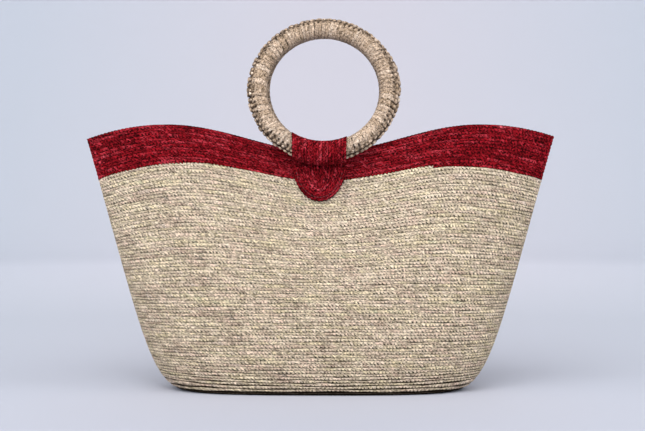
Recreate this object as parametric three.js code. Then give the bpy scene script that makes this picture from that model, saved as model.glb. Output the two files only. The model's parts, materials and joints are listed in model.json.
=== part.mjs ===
// Palm leaf tote bag: a body of sewn palm braid with a red rim band, and two wound ring handles
// that swing in the loops of coiled red tabs. Units are millimetres and +Z is up. The front faces -Y,
// and the origin is the middle of the flat base.
import * as THREE from 'three';

// Body, outer sizes. The wall leaves the base flat, turns up at the foot and leans to the mouth.
const BASE_LENGTH = 268;
const BASE_DEPTH = 100;
const BASE_THICKNESS = 3;
const FOOT_LENGTH = 346;
const FOOT_DEPTH = 126;
const BELLY_LENGTH = 363;
const BELLY_DEPTH = 128;
const BELLY_HEIGHT = 62;
const MOUTH_LENGTH = 472;
const MOUTH_DEPTH = 70;
const WALL_THICKNESS = 3;
const SIDE_FOLD_THICKNESS = 8;

// Waved rim: lowest in a dip near the middle, highest at the peaks and lower again at the side folds.
const RIM_MIDDLE_HEIGHT = 240;
const RIM_PEAK_HEIGHT = 267;
const RIM_CORNER_HEIGHT = 254.2;
const RIM_PEAK_PLACE = 160;
const RIM_DIP_PLACE = 4;
const BAND_MIDDLE_WIDTH = 29;
const BAND_SIDE_WIDTH = 43;

// Courses of plain braid below the red band, in four nodes.
const COURSE_COUNT = 72;
const COURSE_PITCH = 3.15;
const LEVEL_SHARE = 0.42;
const WALL_NODES = ['wall_foot_courses', 'wall_lower_courses', 'wall_middle_courses', 'wall_upper_courses'];

// Ring handles: a hoop, the palm strip wound round it and a plaited spine on the outer edge.
// A ring hangs a little to the right in its loop.
const RING_RADIUS = 65;
const RING_SHIFT = 4;
const HOOP_DIAMETER = 12;
const WRAP_THICKNESS = 1.3;
const WRAP_LOOPS = 24;
const WRAP_LOOP_GAP = 0.6;
const WRAP_END_GAP = 1.5;
const SPINE_DIAMETER = 3.4;

// Tabs: a strap folded round the ring, with both leaves sewn to the wall.
const TAB_WIDTH = 54;
const TAB_DROP = 46;
const TAB_BEND = 11;
const TAB_THROAT = 15.5;
const LEAF_THICKNESS = 2;
const LOOP_THICKNESS = 1.6;
const UNDER_LEAF_INSET = 1.5;
const LOOP_BELOW_RIM = 4.4;
const THREAD_DIAMETER = 0.8;
const THREAD_INSET = 4;

// Clearances
const SEAM_GAP = 0.3;
const LOOP_CLEARANCE = 0.4;
const LOOP_SWING_GAP = 1.1;
const RING_REST_GAP = 0.6;

// Mesh steps
const COLUMNS = 72;
const LENGTH_STEPS = 48;
const FOOT_ROWS = 4;
const WALL_ROWS = 2;
const RING_STEPS = 40;
const HOOP_SIDES = 8;
const SPINE_SIDES = 6;
const WRAP_STEPS = 10;
const LEAF_ROWS = 7;
const LEAF_COLUMNS = 6;
const TONGUE_SWEEP = 0.48 * Math.PI;
const NORMAL_STEP = 0.002;
const LOOP_SIDES = 16;
const LOOP_STATIONS = 5;
const THREAD_STEPS = 12;
const THREAD_SIDES = 6;

const FRONT = -Math.PI / 2;
const TURN = 2 * Math.PI;

const material = (color, roughness) => new THREE.MeshStandardMaterial({ color, roughness, metalness: 0 });
const PLAIN_PALM = material('#c8b89c', 0.75);
const RED_PALM = material('#7a1f27', 0.7);
const CANE = material('#b08f62', 0.7);
const WOUND_PALM = material('#b79f86', 0.7);
const RED_THREAD = material('#54141a', 0.9);

// Height of the rim over a place across the bag, from -1 to 1 of the half length.
function rimHeight(across) {
  const place = Math.abs(across * MOUTH_LENGTH / 2 - RIM_DIP_PLACE);
  if (place < RIM_PEAK_PLACE) {
    const rise = (1 - Math.cos(Math.PI * place / RIM_PEAK_PLACE)) / 2;
    return RIM_MIDDLE_HEIGHT + (RIM_PEAK_HEIGHT - RIM_MIDDLE_HEIGHT) * rise;
  }
  const past = (place - RIM_PEAK_PLACE) / (MOUTH_LENGTH / 2 - RIM_PEAK_PLACE);
  return RIM_PEAK_HEIGHT - (RIM_PEAK_HEIGHT - RIM_CORNER_HEIGHT) * past * past;
}

// The four outlines that the wall's Bezier profiles run between. A fuller outline is squarer,
// and one with a larger taper has sharper side folds. The insets give the inner face.
const OUTLINES = [
  {
    length: BASE_LENGTH, depth: BASE_DEPTH, height: () => 0, fullness: 4, taper: 0.5,
    foldInset: 0, wallInset: 0, lift: BASE_THICKNESS,
  },
  {
    length: FOOT_LENGTH, depth: FOOT_DEPTH, height: () => 0, fullness: 3.2, taper: 0.5,
    foldInset: WALL_THICKNESS, wallInset: WALL_THICKNESS, lift: BASE_THICKNESS,
  },
  {
    length: BELLY_LENGTH, depth: BELLY_DEPTH, height: () => BELLY_HEIGHT, fullness: 2.6, taper: 0.55,
    foldInset: (WALL_THICKNESS + SIDE_FOLD_THICKNESS) / 2, wallInset: WALL_THICKNESS, lift: 0,
  },
  {
    length: MOUTH_LENGTH, depth: MOUTH_DEPTH, height: rimHeight, fullness: 2, taper: 0.85,
    foldInset: SIDE_FOLD_THICKNESS, wallInset: WALL_THICKNESS, lift: 0,
  },
];

function bezierWeights(t) {
  const s = 1 - t;
  return [s * s * s, 3 * s * s * t, 3 * s * t * t, t * t * t];
}

// Point of the wall at an angle round the bag and a share t of the way from base to rim.
function wallPoint(angle, t, inside = false) {
  const across = Math.cos(angle);
  const side = Math.sign(Math.sin(angle));
  const point = new THREE.Vector3();
  bezierWeights(t).forEach((weight, k) => {
    const outline = OUTLINES[k];
    const halfLength = outline.length / 2 - (inside ? outline.foldInset : 0);
    const halfDepth = outline.depth / 2 - (inside ? outline.wallInset : 0);
    const bow = Math.max(0, 1 - Math.abs(across) ** outline.fullness) ** outline.taper;
    point.x += weight * halfLength * across;
    point.y += weight * halfDepth * bow * side;
    point.z += weight * (outline.height(across) + (inside ? outline.lift : 0));
  });
  return point;
}

// Lengths along one profile of the wall, from the base's edge to each of the steps.
function profileLengths(angle) {
  const lengths = [0];
  let last = wallPoint(angle, 0);
  for (let i = 1; i <= LENGTH_STEPS; i++) {
    const next = wallPoint(angle, i / LENGTH_STEPS);
    lengths.push(lengths[i - 1] + next.distanceTo(last));
    last = next;
  }
  return lengths;
}

// Share t of a profile that lies a given length from the base's edge.
function shareAtLength(lengths, length) {
  let i = 1;
  while (i < LENGTH_STEPS && lengths[i] < length) {
    i++;
  }
  const part = (length - lengths[i - 1]) / (lengths[i] - lengths[i - 1]);
  return (i - 1 + part) / LENGTH_STEPS;
}

// Width of the red band along the wall: narrow over the dip of the rim and widest at the side folds.
function bandWidth(angle) {
  const ease = (1 - Math.cos(Math.PI * Math.cos(angle))) / 2;
  return BAND_MIDDLE_WIDTH + (BAND_SIDE_WIDTH - BAND_MIDDLE_WIDTH) * ease;
}

// Length from the base's edge to a share of the plain courses: even low down, then easing into the band.
function courseLength(angle, lengths, share) {
  const level = share * COURSE_COUNT * COURSE_PITCH;
  const top = lengths[LENGTH_STEPS] - bandWidth(angle);
  const past = Math.max(0, (share - LEVEL_SHARE) / (1 - LEVEL_SHARE));
  return level + (top - COURSE_COUNT * COURSE_PITCH) * past;
}

function solidFrom(points, faces) {
  const geometry = new THREE.BufferGeometry().setFromPoints(points);
  let volume = 0;
  for (const [a, b, c] of faces) {
    volume += points[a].dot(points[b].clone().cross(points[c]));
  }
  geometry.setIndex((volume < 0 ? faces.map(([a, b, c]) => [a, c, b]) : faces).flat());
  return geometry;
}

// Quads between two closed sections of equal size, as triangles.
function bandFaces(first, second, size) {
  const faces = [];
  for (let k = 0; k < size; k++) {
    const next = (k + 1) % size;
    faces.push([first + k, second + k, second + next], [first + k, second + next, first + next]);
  }
  return faces;
}

// A closed section carried round a closed path.
function ringSolid(sections) {
  const size = sections[0].length;
  const faces = sections.flatMap((_, i) => bandFaces(i * size, ((i + 1) % sections.length) * size, size));
  return solidFrom(sections.flat(), faces);
}

// A closed section carried along an open path. A section lists its one side, then the other back again.
function stripSolid(sections) {
  const size = sections[0].length;
  const faces = [];
  for (let i = 0; i + 1 < sections.length; i++) {
    faces.push(...bandFaces(i * size, (i + 1) * size, size));
  }
  const last = (sections.length - 1) * size;
  for (let k = 0; k + 1 < size / 2; k++) {
    const across = size - 1 - k;
    faces.push([k, k + 1, across - 1], [k, across - 1, across]);
    faces.push([last + k, last + across - 1, last + k + 1], [last + k, last + across, last + across - 1]);
  }
  return solidFrom(sections.flat(), faces);
}

// A shell of the wall between two lengths, which are functions of the angle and the profile's lengths.
function wallShell(lower, upper, rows) {
  const sections = [];
  for (let i = 0; i < COLUMNS; i++) {
    const angle = TURN * i / COLUMNS;
    const lengths = profileLengths(angle);
    const from = lower(angle, lengths);
    const to = upper(angle, lengths);
    const shares = [];
    for (let k = 0; k < rows; k++) {
      shares.push(shareAtLength(lengths, from + (to - from) * k / (rows - 1)));
    }
    const outer = shares.map((t) => wallPoint(angle, t));
    const inner = shares.map((t) => wallPoint(angle, t, true)).reverse();
    sections.push([...outer, ...inner]);
  }
  return ringSolid(sections);
}

function baseCoil() {
  const outline = [];
  for (let i = 0; i < COLUMNS; i++) {
    const edge = wallPoint(TURN * i / COLUMNS, 0);
    const inward = 1 - SEAM_GAP / Math.hypot(edge.x, edge.y);
    outline.push(new THREE.Vector2(edge.x * inward, edge.y * inward));
  }
  return new THREE.ExtrudeGeometry(new THREE.Shape(outline), { depth: BASE_THICKNESS, bevelEnabled: false });
}

function mesh(name, geometry, look) {
  const made = new THREE.Mesh(geometry, look);
  made.name = name;
  return made;
}

function body() {
  const group = new THREE.Group();
  group.add(mesh('base_coil', baseCoil(), PLAIN_PALM));
  WALL_NODES.forEach((name, k) => {
    const seam = k ? SEAM_GAP : 0;
    const lower = (angle, lengths) => courseLength(angle, lengths, k / WALL_NODES.length) + seam;
    const upper = (angle, lengths) => courseLength(angle, lengths, (k + 1) / WALL_NODES.length);
    group.add(mesh(name, wallShell(lower, upper, k ? WALL_ROWS : FOOT_ROWS), PLAIN_PALM));
  });
  const bandStart = (angle, lengths) => courseLength(angle, lengths, 1) + SEAM_GAP;
  const bandEnd = (angle, lengths) => lengths[LENGTH_STEPS];
  group.add(mesh('rim_band', wallShell(bandStart, bandEnd, WALL_ROWS), RED_PALM));
  return group;
}

// The middle profile of the front, and points in front of the wall there.
const FRONT_LENGTHS = profileLengths(FRONT);
const LOOP_FOOT_LENGTH = FRONT_LENGTHS[LENGTH_STEPS] - LOOP_BELOW_RIM;

// A point out from the front wall, at a place across the bag and a length up the middle profile.
function frontPoint(across, length, out) {
  const t = shareAtLength(FRONT_LENGTHS, length);
  const halfLength = bezierWeights(t).reduce((sum, weight, k) => sum + weight * OUTLINES[k].length / 2, 0);
  const angle = -Math.acos(across / halfLength);
  const point = wallPoint(angle, t);
  const along = wallPoint(angle + NORMAL_STEP, t).sub(wallPoint(angle - NORMAL_STEP, t));
  const up = wallPoint(angle, t - NORMAL_STEP).sub(point).negate();
  return point.addScaledVector(along.cross(up).normalize(), out);
}

// Layers of the tab, out from the wall
const UNDER_LEAF_OUT = SEAM_GAP;
const OUTER_LEAF_OUT = UNDER_LEAF_OUT + LEAF_THICKNESS + SEAM_GAP;
const THREAD_OUT = OUTER_LEAF_OUT + LEAF_THICKNESS + SEAM_GAP + THREAD_DIAMETER / 2;

// The tongue's edge round its end, at an angle from 0 on its one side to half a turn on the other.
function tongueEdge(around, inset) {
  const halfWidth = TAB_WIDTH / 2 - inset;
  const reach = TAB_DROP - TAB_BEND - inset;
  return new THREE.Vector2(-halfWidth * Math.cos(around), TAB_BEND + reach * Math.sin(around));
}

// Angle at which the tongue's edge leaves the throat.
function throatAngle(inset) {
  return Math.asin((TAB_THROAT - TAB_BEND) / (TAB_DROP - TAB_BEND - inset));
}

// A leaf of the tab on the wall, down round the tongue. One with an upper edge has straight sides above the bend.
function leaf(inset, out, topDrop = null) {
  const start = topDrop === null ? throatAngle(inset) : 0;
  const edges = topDrop === null ? [] : [new THREE.Vector2(-TAB_WIDTH / 2 + inset, topDrop)];
  for (let i = 0; i < LEAF_ROWS; i++) {
    edges.push(tongueEdge(start + (TONGUE_SWEEP - start) * i / (LEAF_ROWS - 1), inset));
  }
  const sections = edges.map((edge) => {
    const drop = edge.y;
    const row = (depth) => Array.from({ length: LEAF_COLUMNS + 1 }, (_, k) => {
      const across = (1 - 2 * k / LEAF_COLUMNS) * edge.x;
      return frontPoint(across, LOOP_FOOT_LENGTH - drop, depth);
    });
    return [...row(out + LEAF_THICKNESS), ...row(out).reverse()];
  });
  return stripSolid(sections);
}

// The sewing thread: a U along the tongue, inside its edge and on its outer face.
function seamThread() {
  const start = throatAngle(THREAD_INSET);
  const route = Array.from({ length: THREAD_STEPS + 1 }, (_, i) =>
    tongueEdge(start + (Math.PI - 2 * start) * i / THREAD_STEPS, THREAD_INSET));
  const place = (spot, out) => frontPoint(spot.x, LOOP_FOOT_LENGTH - spot.y, out);
  const sections = route.map((spot, i) => {
    const middle = place(spot, THREAD_OUT);
    const before = place(route[Math.max(0, i - 1)], THREAD_OUT);
    const after = place(route[Math.min(route.length - 1, i + 1)], THREAD_OUT);
    const out = place(spot, THREAD_OUT + 1).sub(middle);
    const side = after.sub(before).cross(out).normalize();
    return Array.from({ length: THREAD_SIDES }, (_, k) => {
      const turn = TURN * k / THREAD_SIDES;
      const point = middle.clone().addScaledVector(side, Math.cos(turn) * THREAD_DIAMETER / 2);
      return point.addScaledVector(out, Math.sin(turn) * THREAD_DIAMETER / 2);
    });
  });
  return stripSolid(sections);
}

// Ring sizes that follow from the hoop. The wound strip's flats clear the hoop by the seam gap,
// both round the hoop and along it, where a strip bends once in its middle.
const WRAP_PITCH = TURN / WRAP_LOOPS;
const WRAP_SAG = (RING_RADIUS + HOOP_DIAMETER / 2) * (1 - Math.cos(WRAP_PITCH / 4));
const WRAP_INNER_RADIUS = (HOOP_DIAMETER / 2 + SEAM_GAP + WRAP_SAG) / Math.cos(Math.PI / WRAP_STEPS);
const WRAP_OUTER_RADIUS = WRAP_INNER_RADIUS + WRAP_THICKNESS;
const SPINE_RADIUS = RING_RADIUS + WRAP_OUTER_RADIUS + SEAM_GAP + SPINE_DIAMETER / 2;
const RING_INNER_RADIUS = RING_RADIUS - WRAP_OUTER_RADIUS;
const RING_OUTER_RADIUS = SPINE_RADIUS + SPINE_DIAMETER / 2;

// A torus that stands in the XZ plane.
function uprightTorus(radius, tube, sides) {
  return new THREE.TorusGeometry(radius, tube, sides, RING_STEPS).rotateX(Math.PI / 2);
}

// The palm strip: sections of one flat winding round the hoop, whose ends hide in the tab's loop.
function ringWrap() {
  const halfWidth = (WRAP_PITCH - WRAP_LOOP_GAP / RING_INNER_RADIUS) / 2;
  const turns = TURN * WRAP_LOOPS - WRAP_END_GAP / WRAP_OUTER_RADIUS;
  const count = WRAP_LOOPS * WRAP_STEPS;
  const place = (along, turn, radius) => {
    const reach = RING_RADIUS + radius * Math.cos(turn);
    return new THREE.Vector3(reach * Math.sin(along), radius * Math.sin(turn), -reach * Math.cos(along));
  };
  const sections = [];
  for (let i = 0; i <= count; i++) {
    const turn = turns * i / count;
    const middle = WRAP_PITCH * turn / TURN;
    const across = [middle - halfWidth, middle, middle + halfWidth];
    const outer = across.map((along) => place(along, turn, WRAP_OUTER_RADIUS));
    const inner = across.map((along) => place(along, turn, WRAP_INNER_RADIUS)).reverse();
    sections.push([...outer, ...inner]);
  }
  return sections;
}

// Least distance between points of the winding that are more than half a loop apart.
function leastGap(sections) {
  let least = Infinity;
  for (let i = 0; i < sections.length; i++) {
    for (let j = i + Math.ceil(WRAP_STEPS / 2); j < sections.length; j++) {
      for (const point of sections[i]) {
        for (const other of sections[j]) {
          least = Math.min(least, point.distanceTo(other));
        }
      }
    }
  }
  return least;
}

// Middle and half height of the ring's section over a place across it, which the loop goes round.
function ringSpan(across) {
  const outer = Math.sqrt(RING_OUTER_RADIUS ** 2 - across ** 2);
  const inner = Math.sqrt(RING_INNER_RADIUS ** 2 - across ** 2);
  return { middle: (outer + inner) / 2, half: (outer - inner) / 2 };
}

const LOOP_RADIUS = ringSpan(0).middle;
const LOOP_BORE = (ringSpan(0).half + LOOP_CLEARANCE) / Math.cos(Math.PI / LOOP_SIDES);
const LOOP_OUTER = LOOP_BORE + LOOP_THICKNESS;

// The loop of the tab: a sleeve of constant width round the foot of the ring, which bends with it.
function tabLoop(shift) {
  const sections = [];
  for (let i = 0; i < LOOP_SIDES; i++) {
    const turn = TURN * i / LOOP_SIDES;
    const line = (thickness) => Array.from({ length: LOOP_STATIONS }, (_, k) => {
      const across = (k / (LOOP_STATIONS - 1) - 0.5) * TAB_WIDTH - shift;
      const span = ringSpan(across);
      const rise = (span.half + LOOP_CLEARANCE) / Math.cos(Math.PI / LOOP_SIDES) + thickness;
      const out = LOOP_BORE + thickness;
      return new THREE.Vector3(across, out * Math.cos(turn), rise * Math.sin(turn) - span.middle);
    });
    sections.push([...line(LOOP_THICKNESS), ...line(0).reverse()]);
  }
  return ringSolid(sections);
}

// The swing axis runs across the bag through the loop. At rest each ring leans in, just clear of the other.
const SWING_OUT = UNDER_LEAF_OUT + LEAF_THICKNESS + LOOP_SWING_GAP + LOOP_OUTER;
const SWING_AXIS = frontPoint(0, LOOP_FOOT_LENGTH, SWING_OUT).setX(0);
const REST_LEAN = Math.asin(
  (-RING_REST_GAP / 2 - WRAP_OUTER_RADIUS - SWING_AXIS.y) / (LOOP_RADIUS + RING_RADIUS));

function handle(side, turn, shift) {
  const group = new THREE.Group();
  group.rotation.z = turn;
  const rimDrop = SEAM_GAP - LOOP_BELOW_RIM;
  group.add(mesh(`${side}_tab_under_leaf`, leaf(UNDER_LEAF_INSET, UNDER_LEAF_OUT, rimDrop), RED_PALM));
  group.add(mesh(`${side}_tab_tongue`, leaf(0, OUTER_LEAF_OUT), RED_PALM));
  group.add(mesh(`${side}_tab_thread`, seamThread(), RED_THREAD));

  const ring = new THREE.Group();
  ring.position.set(shift, LOOP_RADIUS * Math.sin(REST_LEAN), LOOP_RADIUS * Math.cos(REST_LEAN)).add(SWING_AXIS);
  ring.rotation.x = -REST_LEAN;
  ring.add(mesh(`${side}_tab_loop`, tabLoop(shift), RED_PALM));
  ring.add(mesh(`${side}_ring_hoop`, uprightTorus(RING_RADIUS, HOOP_DIAMETER / 2, HOOP_SIDES), CANE));
  ring.add(mesh(`${side}_ring_wrap`, stripSolid(WRAP_SECTIONS), WOUND_PALM));
  const spine = uprightTorus(SPINE_RADIUS, SPINE_DIAMETER / 2, SPINE_SIDES);
  ring.add(mesh(`${side}_ring_spine`, spine, WOUND_PALM));
  group.add(ring);
  return group;
}

const WRAP_SECTIONS = ringWrap();
console.log(`Ring wrap: least gap between turns ${leastGap(WRAP_SECTIONS).toFixed(2)} mm`);

const bag = new THREE.Group();
bag.add(body(), handle('front', 0, RING_SHIFT), handle('rear', Math.PI, -RING_SHIFT));
export default bag;
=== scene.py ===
# Palm leaf tote bag: sewn palm braid with a red rim band, and wound rings that swing in red tabs.
# The bag's lengths are millimetres until a mesh is laid out, and the studio's are metres. The front
# faces -Y, and +Z is up.
import functools
import json
import math

import bpy
import numpy as np
from mathutils import Matrix, Vector


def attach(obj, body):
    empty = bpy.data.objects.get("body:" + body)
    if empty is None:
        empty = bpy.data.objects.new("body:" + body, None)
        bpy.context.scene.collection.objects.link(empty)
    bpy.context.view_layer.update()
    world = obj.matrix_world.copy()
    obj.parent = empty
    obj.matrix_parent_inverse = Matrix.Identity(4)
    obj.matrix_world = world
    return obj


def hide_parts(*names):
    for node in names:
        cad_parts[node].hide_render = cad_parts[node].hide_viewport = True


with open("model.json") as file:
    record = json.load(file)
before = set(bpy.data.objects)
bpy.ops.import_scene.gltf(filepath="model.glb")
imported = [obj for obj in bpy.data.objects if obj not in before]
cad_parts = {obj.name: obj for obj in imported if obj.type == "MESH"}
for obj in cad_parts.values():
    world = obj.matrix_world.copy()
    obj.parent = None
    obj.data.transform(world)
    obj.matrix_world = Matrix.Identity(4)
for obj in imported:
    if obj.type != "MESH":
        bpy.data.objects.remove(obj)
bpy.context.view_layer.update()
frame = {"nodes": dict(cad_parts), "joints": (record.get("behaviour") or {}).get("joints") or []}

MM = 0.001
TURN = 2 * math.pi

# Sizes of the body, as the solids have them
COURSE_COUNT = 72
COURSE_PITCH = 3.15
LEVEL_SHARE = 0.42
BAND_MIDDLE_WIDTH = 29
BAND_SIDE_WIDTH = 43
BASE_THICKNESS = 3
MOUTH_LENGTH = 472
RIM_MIDDLE_HEIGHT = 240
RIM_PEAK_HEIGHT = 267
RIM_CORNER_HEIGHT = 254.2
RIM_PEAK_PLACE = 160
RIM_DIP_PLACE = 4

# Courses of the body. The lowest widen towards the side folds until the wall has turned up, so that
# those above run level, and all rise and fall a little in two waves.
NODE_COURSES = 18
BAND_COURSES = 12
BASE_COURSES = 16
FOOT_COURSES = 4
FOOT_HEIGHT = 30
WAVES = [dict(rise=0.1, count=7, step=0.37), dict(rise=0.07, count=19, step=-0.61)]

# Sizes of the handles and tabs, as the solids have them, but for a winding about a millimetre fuller
RING_RADIUS = 64.4
WRAP_OUTER_RADIUS = 8.7
RING_OUTER_RADIUS = 76.78
RING_INNER_RADIUS = 55.7
RING_SHIFT = 4
TAB_WIDTH = 54
TAB_DROP = 46
TAB_BEND = 11
TAB_THROAT = 15.5
UNDER_LEAF_INSET = 1.5
UNDER_LEAF_OUT = 0.3
OUTER_LEAF_OUT = 2.6
LEAF_THICKNESS = 2
LOOP_BELOW_RIM = 4.4
LOOP_BORE = 10.54
LOOP_THICKNESS = 1.6
THREAD_OUT = 5.3
THREAD_INSET = 4

# Courses of the tabs, and forms that the solids have plainer: the tongue is crowned and arched up to the
# loop and tucked down at its edge, and the loop lies closer and is thinner on its upper side.
TAB_COURSES = 9
TAB_CORE = 13
LOOP_COURSES = 18
UNDER_LEAF_BELOW_RIM = 0.3
TONGUE_CROWN = 3.3
TONGUE_ARCH = 4
TONGUE_TUCK = 2.2
LOOP_ROOM = 0.6
LOOP_UPPER_CLOSER = 0.4
LOOP_UPPER_THINNER = 0.4

# How finely the surfaces are worked out
PROFILE_STEPS = 120
ANGLE_STEPS = 7200
EVEN_SHARE = 0.55
NORMAL_STEP = 0.002
BEND_POINTS = 400
SIDE_POINTS = 100
WALL_COLUMNS = 840
BASE_COLUMNS = 420
UNDER_LEAF_COLUMNS = 90
TONGUE_COLUMNS = 120
LOOP_COLUMNS = 84
RING_COLUMNS = 700
RING_LINES = 48
MERGE_DISTANCE = 0.001 * MM
TINY = 1e-6

# The braid: strips of uneven length that cross each course at a slant, with a groove between the courses
STRIP_LENGTH = 3.6
STRIP_SLANT = 0.9
STRIP_SPREAD = 0.25
LEAST_STRIPS = 3
SPARE_STRIPS = 2
GROOVE_DEPTH = 1.0
CREST_LEAN = 0.85
STRIP_DIP = 0.6
SEAM_DIP_SHARE = 0.4
LEAST_DIP = 0.5
STRIP_UNEVEN = 0.25

# How open the seams are at each wall course, which the braid's material paints as shade in the seams: 0 is
# shut, 1 is open, and more adds a painted contact shadow where the bag stands
OPEN_SEAM = 1.0
OPEN_COURSES = 2.5
EASE_COURSES = 8
TIGHT_SEAM = 0.15
# painted contact shadow on the lowest courses, where the bag meets the floor
PAINTED_FOOT_SHADOW = 3.2
FOOT_SHADOW_COURSES = 2.1
FOOT_SHADOW_FADE = 1.7
LOOSE_SEAM = 0.16
LOOSE_COURSES = 50
LOOSE_FADE = 40
BASE_SEAM_COURSE = 2


# Looks
def linear(colour):
    """Linear RGBA of an sRGB hex colour."""
    parts = [int(colour[i:i + 2], 16) / 255 for i in (1, 3, 5)]
    return tuple(c / 12.92 if c <= 0.04045 else ((c + 0.055) / 1.055) ** 2.4 for c in parts) + (1.0,)


def add_node(tree, kind, inputs, tones=(), **settings):
    """Adds a node with its settings, fills its inputs with values or with other nodes' outputs, spreads the
    tones evenly along a colour ramp, and gives the node's outputs."""
    made = tree.nodes.new(kind)
    for name, value in settings.items():
        setattr(made, name, value)
    for place, value in inputs.items():
        if isinstance(value, bpy.types.NodeSocket):
            tree.links.new(value, made.inputs[place])
        else:
            made.inputs[place].default_value = value
    for i, tone in enumerate(tones):
        if i == len(made.color_ramp.elements):
            made.color_ramp.elements.new(1.0)
        made.color_ramp.elements[i].position = i / (len(tones) - 1)
        made.color_ramp.elements[i].color = linear(tone)
    return made.outputs


def new_material(name):
    """A material with no nodes yet, and the function that adds them to it."""
    material = bpy.data.materials.new(name)
    material.use_nodes = True
    material.node_tree.nodes.clear()
    return material, functools.partial(add_node, material.node_tree)


def off_middle(add, part):
    """How far a part from 0 to 1 lies from its middle."""
    moved = add("ShaderNodeMath", {0: part, 1: 0.5}, operation="SUBTRACT")[0]
    return add("ShaderNodeMath", {0: moved}, operation="ABSOLUTE")[0]


def split_fibres(add, place, counts):
    """A chance for each split fibre. They are drawn about a millimetre wide, coarser than real, to show."""
    fibre = add("ShaderNodeVectorMath", {0: place, 1: counts}, operation="MULTIPLY")[0]
    fibre = add("ShaderNodeVectorMath", {0: fibre}, operation="FLOOR")[0]
    return add("ShaderNodeTexWhiteNoise", {"Vector": fibre}, noise_dimensions="2D")["Value"]


# Palm leaf split and plaited: a matte strip, greyer or yellower from leaf to leaf, so that short slanted
# strips of many tones lie side by side, with dark specks of painted shade where their corners leave the
# plait open, and painted shade along the seams where the courses part. The specks are drawn about a
# millimetre wide, coarser than real ones, so that they show. Runs are millimetres, and fibres are counted
# over a strip and a course.
LEAF_RUN = 45
LEAF_JUMP = 3.7
LEAF_CONTRAST = 0.7
STRIP_CONTRAST = 0.25
HUE_CONTRAST = 0.3
BRAID_FIBRES = (2.6, 4.0, 1.0)
FIBRE_GLOSS = 0.12
SPECK_EDGE = {"From Min": 0.2, "From Max": 0.27}
SPECK_DEPTH = {"To Min": 0.3, "To Max": 1.1}
WORN_SPECK = {"From Min": TIGHT_SEAM, "From Max": 0.35, "To Min": 1.0, "To Max": 1.3}
STRIP_END = {"From Min": 0.36, "From Max": 0.5, "To Max": 0.35}
SEAM_RUN = 18
SEAM_JUMP = 5.3
SEAM_EDGE = {"From Min": 0.33, "From Max": 0.47}
SEAM_WIDENING = 0.1
SEAM_SHARE = 0.65
SEAM_LEAST = 1.33
PARTED_SHARE = -2


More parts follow.
